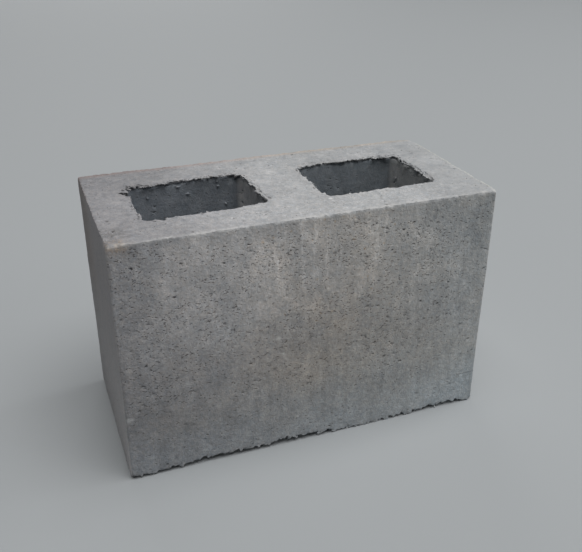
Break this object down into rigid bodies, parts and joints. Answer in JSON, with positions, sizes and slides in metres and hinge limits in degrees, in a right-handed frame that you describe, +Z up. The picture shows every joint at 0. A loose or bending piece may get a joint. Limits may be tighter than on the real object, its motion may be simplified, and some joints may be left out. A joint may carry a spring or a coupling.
{
  "type": "concrete block",
  "caption": "Rectangular hollow concrete masonry block with flat ends and open rounded-corner cores, standing on a bed face.",
  "frame": {"origin": "middle of the lower bed face, in the underside of the centre web", "axes": "+X along the length from the left end to the right end as seen from the front, +Y across the width from the front face shell to the back one, +Z up along the cores"},
  "size_m": [0.29, 0.14, 0.19],
  "materials": {
    "concrete": "matte"
  },
  "bodies": {
    "root": {"block": "concrete"}
  },
  "joints": []
}
